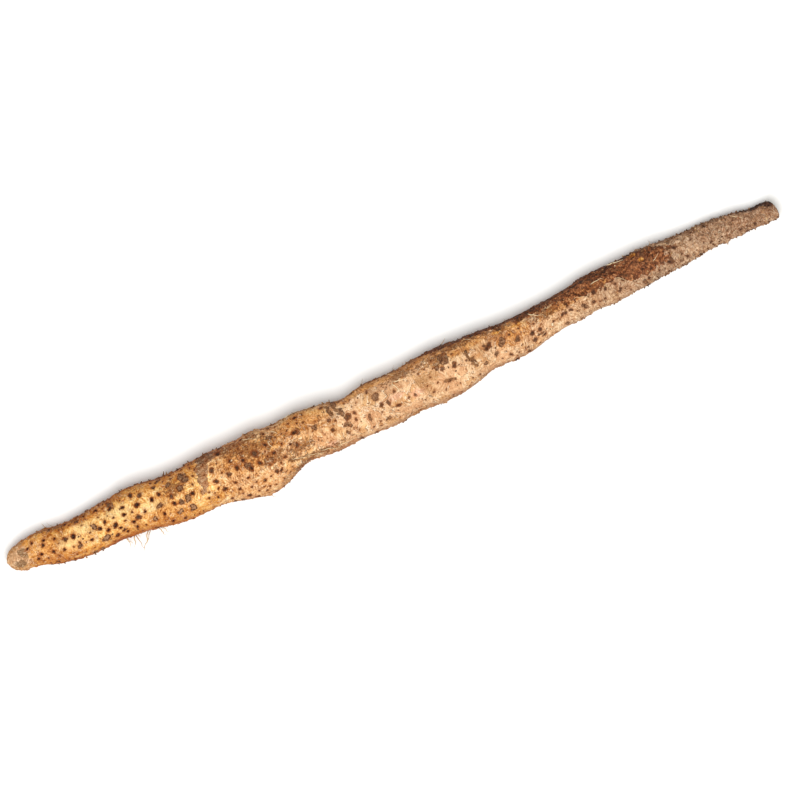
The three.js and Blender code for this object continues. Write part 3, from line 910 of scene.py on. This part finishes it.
def stubTree(material):
    tree, add, over = newTree("root stubs", {label: "Int" if label == "Seed" else "Float"
                                             for label in stubs})
    spread = add("GeometryNodeDistributePointsOnFaces",
                 {"Mesh": over["Geometry"], "Distance Min": add("MULTIPLY", over["Gap"], mm),
                  "Density Max": add("MULTIPLY", over["Density"], 1 / mm ** 2),
                  "Density Factor": peelShare(add), "Seed": over["Seed"]}, distribute_method="POISSON")
    cone = add("GeometryNodeMeshCone", {"Vertices": 6, "Side Segments": 3, "Radius Top": 0.5,
                                        "Radius Bottom": 1.15, "Depth": 1.0}).outputs["Mesh"]
    heightIn = add("split", add("GeometryNodeInputPosition")).outputs[2]
    wobble = add("random", (-0.16, -0.16, -0.1), (0.16, 0.16, 0.1), 5, data_type="FLOAT_VECTOR")
    marked = add("store", cone, "tip", heightIn)
    bent = add("GeometryNodeSetPosition", {"Geometry": marked, "Offset": wobble})
    lean = add("scale", add("random", (-1, -1, -1), (1, 1, 1), 3, data_type="FLOAT_VECTOR"), over["Lean"])
    heading = add("join", spread.outputs["Normal"], lean)
    turned = add("FunctionNodeAlignRotationToVector", {"Vector": heading}, axis="Z")
    wide = add("MULTIPLY", add("random", over["Thin"], over["Thick"], 11), mm)
    tall = add("MULTIPLY", add("random", over["Short"], over["Tall"], 12), mm)
    pale = add("store", spread.outputs["Points"], "pale", add("random", 0.0, 1.0, 13))
    placed = add("GeometryNodeInstanceOnPoints", {"Points": pale, "Instance": bent, "Rotation": turned,
                                                  "Scale": add("vector", wide, wide, tall)})
    whole = add("GeometryNodeRealizeInstances", {0: placed})
    # each is crooked in its own way, more towards its end
    sway = add("noise", add("GeometryNodeInputPosition"), 1 / (0.9 * mm), 2.0, 0.5).outputs["Color"]
    most = add("MULTIPLY", add("MULTIPLY_ADD", add("named", "tip"), 3.0, 1.3), over["Crook"])
    crook = add("scale", add("apart", sway, (0.5, 0.5, 0.5)), add("MULTIPLY", most, mm))
    crooked = add("GeometryNodeSetPosition", {"Geometry": whole, "Offset": crook})
    finishTree(add, crooked, (material, True))
    return tree


stubPiece = addPiece("root_stubs", tuber.data.copy())
grow(stubPiece, stubTree(stubMaterial()), stubs)
declare(stubPiece)


# rootlets that lie on the peel or hang off its lower edge

rootlets = {
    "seed": 5,
    # on the peel: mm from the tip and to the side of its start, then of its end, half its width
    "lying": [
        (206, 9.5, 208, 1, 0.28), (211, 15, 214, 11, 0.25), (303, 10.4, 306, 2.6, 0.34),
        (304, 11.5, 316, 8.4, 0.3), (461, 17.2, 471, 17.8, 0.3), (477, 24.2, 489, 22.6, 0.36),
        (470, 13, 474, 8.6, 0.3), (189, 18, 197, 15.5, 0.25), (222, 19.5, 236, 21, 0.25),
        (238, 22.5, 248, 20.5, 0.25), (412, 16, 420, 11.5, 0.3), (424, 14, 432, 15.5, 0.22),
        (216, -9, 229, -13, 0.28), (226, -11, 241, -14.5, 0.3), (238, -12, 252, -15.5, 0.28),
        (250, -13.5, 268, -15, 0.25), (262, -11.5, 275, -15.5, 0.25), (445, 12.5, 456, 10.6, 0.18),
        (480, 14, 486, 9.5, 0.25), (508, 14, 514, 17.5, 0.22), (573, 20, 580, 16.5, 0.22),
    ],
    "loose": 46,  # more on the peel, anywhere
    # short spurs on the outline: mm from the tip, mm to the side, how far they go along, aside and up,
    # and half their width
    "standing": [
        (45, 22, 0.4, 1.3, 0.2, 0.72), (59, 22, 0.6, 0.9, 0.6, 0.61), (94, 24, -0.4, 1.3, 0.3, 0.72),
        (106, 24, 0.9, 0.9, 0.4, 0.82), (118, 24, -0.4, 1, 0.4, 0.72), (127.5, 24, 1.4, 2.9, 0.8, 0.75),
        (130.5, 24, 0.4, 2.2, 0.4, 0.68), (143, 24, 0.6, 1.1, 0.4, 0.72), (167, 24, 0.4, 1.1, 0.4, 0.72),
        (254, 24, -0.6, 1.4, 0.4, 0.82), (259, 24, 1, 2, 0.4, 0.63), (282, 24, 0.6, 1, 0.4, 0.65),
        (318, 24, -0.4, 1, 0.4, 0.65), (496, 34, 0.8, 1, 0.4, 0.72), (505, 34, -0.4, 1, 0.3, 0.72),
        (540, 30, 0.6, 1, 0.3, 0.72), (52, -20, 1, -1.1, -0.3, 0.72), (30, -20, 0.4, -0.9, -0.3, 0.61),
        (28, 22, 0.6, 0.9, 0.4, 0.72), (34, 22, 0.9, 0.7, 0.4, 0.78), (66, 22, 0.8, 0.8, 0.6, 0.78),
        (81, 24, 0.4, 0.8, 0.6, 0.85), (112, 24, 0.8, 0.8, 0.6, 0.84), (138, 24, -0.6, 0.8, 0.6, 0.84),
        (154, 24, 0.8, 0.8, 0.6, 0.72), (246, 24, 0.9, 0.8, 0.6, 0.85), (36, -20, 0.6, -1, -0.2, 0.66),
        (44, -20, -0.5, -0.9, -0.2, 0.72), (60, -20, 0.7, -0.8, -0.2, 0.72), (67, -20, 0.8, -0.7, 0, 0.72),
        (566, 30, 0.8, 0.8, 0.4, 0.72), (579, 30, 0.8, 0.8, 0.4, 0.72), (473, 34, 0.7, 0.8, 0.4, 0.72),
        (484, 34, -0.7, 0.8, 0.4, 0.78), (524, 30, 0.7, 0.8, 0.4, 0.72), (552, 30, -0.6, 0.8, 0.4, 0.72),
        (470, -20, 0.6, -0.9, 0, 0.72), (488, -20, 0.7, -0.8, 0, 0.72), (541, -20, -0.7, -0.8, 0, 0.66),
        (571, -20, 0.6, -1.1, 0.2, 0.65), (576, -20, -0.4, -1.3, 0.2, 0.65),
        (497, -20, -0.6, -1.1, 0.2, 0.65), (515, -20, 0.4, -1, 0.2, 0.61),
    ],
    # off the lower edge, to the floor: mm from the tip, how far it goes along and out, half its width
    "hanging": [
        (85, 2, -7, 0.28), (86.5, -1, -8, 0.36), (91, -4, -9, 0.44), (92, 2, -12, 0.36),
        (102, -9, -13, 0.48), (103, -6, -8, 0.32), (109, 2, -7, 0.4), (111, 5, -6, 0.28),
    ],
    "hangingElsewhere": 14,
}


def rootletSeeds():
    dice = random.Random(rootlets["seed"])
    seeds = []  # start, run in mm, half width, 0 lying or 1 hanging or 2 standing, 0 brown to 1 pale
    for s0, y0, s1, y1, half in rootlets["lying"]:
        start, end = points[onTop(s0, y0)], points[onTop(s1, y1)]
        seeds.append((start, end - start, 1.1 * half, 0, dice.uniform(0.55, 0.95)))
    for s0, y0, ahead, out, up, half in rootlets["standing"]:
        seeds.append((points[onTop(s0, y0)], np.array([ahead, out, up]), half, 2, dice.uniform(-0.4, 0.2)))
    for _ in range(rootlets["loose"]):
        i = dice.randrange(1 + columns * 20, peelCount)
        heading, length = dice.uniform(0, 2 * math.pi), dice.uniform(3, 11)
        run = length * (math.cos(heading) * np.array([1, 0, 0]) + math.sin(heading) * aroundWay(i))
        if points[i][2] > 3:
            seeds.append((points[i], run, dice.uniform(0.12, 0.26), 0, 0.8 * dice.random()))
    free = [(place, -98, ahead, out, half) for place, ahead, out, half in rootlets["hanging"]]
    for _ in range(rootlets["hangingElsewhere"]):
        side = dice.choice((-1, 1))
        free.append((dice.uniform(30, 560), side * dice.uniform(96, 118), dice.uniform(-7, 7),
                     side * dice.uniform(2, 6), dice.uniform(0.14, 0.28)))
    for place, turn, ahead, out, half in free:
        i = int(np.argmin((np.abs(along - place) + np.abs(turnGap(roundTurn, turn)))[:peelCount]))
        run = np.array([ahead, out, -points[i][2]])
        seeds.append((points[i], run, half, 1, 0.25 + 0.4 * dice.random()))
    return seeds


def seedMesh(seeds):
    mesh = bpy.data.meshes.new("rootlets")
    mesh.from_pydata([(s[0] * mm).tolist() for s in seeds], [], [])
    for column, name in enumerate(("start", "run", "half", "free", "pale")):
        scale = mm if name in ("start", "run") else 1
        carry(mesh, name, [seed[column] * scale for seed in seeds])
    return mesh


hairs = {"Wiggle": 1.3, "Wiggle Size": 9.0, "Points": 18}


def rootletTree(material):
    tree, add, over = newTree("rootlets", {"Wiggle": "Float", "Wiggle Size": "Float", "Points": "Int",
                                           "Peel": "Object"})
    line = add("GeometryNodeCurvePrimitiveLine", {"Start": (0, 0, 0), "End": (0, 0, mm)})
    fineLine = add("GeometryNodeResampleCurve", {"Curve": line, "Count": over["Points"]})
    placed = add("GeometryNodeInstanceOnPoints", {"Points": over["Geometry"], "Instance": fineLine})
    strands = add("GeometryNodeRealizeInstances", {0: placed})
    share = add("GeometryNodeSplineParameter").outputs["Factor"]
    # a straight run, then a wiggle that starts at nothing
    start, run = (add("named", name, data_type="FLOAT_VECTOR") for name in ("start", "run"))
    free, half = add("named", "free"), add("MULTIPLY", add("named", "half"), mm)
    straight = add("join", start, add("scale", run, share))
    drift = add("noise", straight, add("DIVIDE", 1 / mm, over["Wiggle Size"]), 2.0, 0.5).outputs["Color"]
    most = add("MULTIPLY", add("MULTIPLY", over["Wiggle"], 4.0), mm)
    wiggle = add("scale", add("apart", drift, (0.5, 0.5, 0.5)),
                 add("MULTIPLY", add("step", share, 0.0, 0.3), most))
    loose = add("join", straight, wiggle)
    # a lying one follows the peel
    peelIn = add("GeometryNodeObjectInfo", {"Object": over["Peel"]}).outputs["Geometry"]
    nearest = add("GeometryNodeProximity", {0: peelIn, "Sample Position": loose},
                  target_element="FACES").outputs["Position"]
    normal = add("GeometryNodeSampleNearestSurface",
                 {"Mesh": peelIn, "Value": add("GeometryNodeInputNormal"), "Sample Position": loose},
                 data_type="FLOAT_VECTOR").outputs["Value"]
    lying = add("join", nearest, add("scale", normal, add("MULTIPLY", half, 0.8)))
    # a free one leaves sideways and falls, then lies on the floor
    place, startZ = add("split", loose).outputs, add("split", start).outputs[2]
    fallen = add("POWER", add("MULTIPLY", share, 1.25), 1.8)
    fallen = add("MULTIPLY", startZ, add("SUBTRACT", 1.0, fallen))
    evenly = add("MULTIPLY", startZ, add("SUBTRACT", 1.0, share))
    height = add("MAXIMUM", add("ADD", fallen, add("SUBTRACT", place[2], evenly)),
                 add("MULTIPLY", half, 1.02))
    hanging = add("vector", place[0], place[1], height)
    spur = add("join", straight, add("scale", wiggle, 0.3))
    course = add("mix", free, lying, hanging, data_type="VECTOR")
    course = add("mix", add("step", free, 1.2, 1.8), course, spur, data_type="VECTOR")
    laid = add("GeometryNodeSetPosition", {"Geometry": add("store", strands, "share", share),
                                           "Position": course})
    taper = add("MULTIPLY", half, add("step", share, 1.05, 0.0, 0.3, 1.0))
    section = add("GeometryNodeCurvePrimitiveCircle", {"Resolution": 5, "Radius": 1.0}).outputs["Curve"]
    skinned = add("GeometryNodeCurveToMesh", {"Curve": laid, "Profile Curve": section, "Scale": taper,
                                              "Fill Caps": True})
    finishTree(add, add("GeometryNodeSetShadeSmooth", {"Geometry": skinned}), (material, True))
    return tree


rootletPiece = addPiece("rootlets", seedMesh(rootletSeeds()))
grow(rootletPiece, rootletTree(rootletMaterial()), {**hairs, "Peel": tuber})
declare(rootletPiece)


# floor, light and camera

studio = {
    "frameWidth": 570.7,  # mm of the object's plane that the view spans
    "aim": (1.1, -2.4, 16.0),  # mm in the frame
    "roll": 24.2,  # degrees that the tuber climbs across the view
    "lens": 300.0,
    "ambient": 0.42,
    "key": (0.5, 2.0, 1.3, 50.0),  # m to the side, m up, m across, watts
    "floorHalf": 6.0,  # m
}


def makeStudio():
    half = studio["floorHalf"]
    board = bpy.data.meshes.new("floor")
    board.from_pydata([(-half, -half, 0), (half, -half, 0), (half, half, 0), (-half, half, 0)], [],
                      [(0, 1, 2, 3)])
    material, add = newMaterial("matt white board")
    finishMaterial(add, {"Base Color": "#F6F6F4", "Roughness": 0.9})
    board.materials.append(material)
    floor = addPiece("floor", board)

    scene = bpy.context.scene
    scene.world = bpy.data.worlds.new("studio")
    scene.world.use_nodes = True
    background = scene.world.node_tree.nodes["Background"].inputs
    background["Color"].default_value = (1, 1, 1, 1)
    background["Strength"].default_value = studio["ambient"]

    roll = math.radians(studio["roll"])
    aside, up, size, power = studio["key"]
    place = Vector((-aside * math.sin(roll), -aside * math.cos(roll), up))
    light = bpy.data.lights.new("key", "AREA")
    light.size, light.energy = size, power
    lamp = addPiece("key", light)
    lamp.location = place
    lamp.rotation_euler = (-place).to_track_quat("-Z", "Y").to_euler()
    lamp.visible_camera = False

    camera = addPiece("camera", bpy.data.cameras.new("camera"))
    camera.data.lens = studio["lens"]
    distance = studio["frameWidth"] * studio["lens"] / camera.data.sensor_width
    camera.location = (Vector(studio["aim"]) + Vector((0, 0, distance))) * mm
    camera.rotation_euler = (0, 0, -roll)
    camera.data.clip_end = 20
    scene.camera = camera
    scene.view_settings.view_transform = "Standard"


makeStudio()
print("studio made")
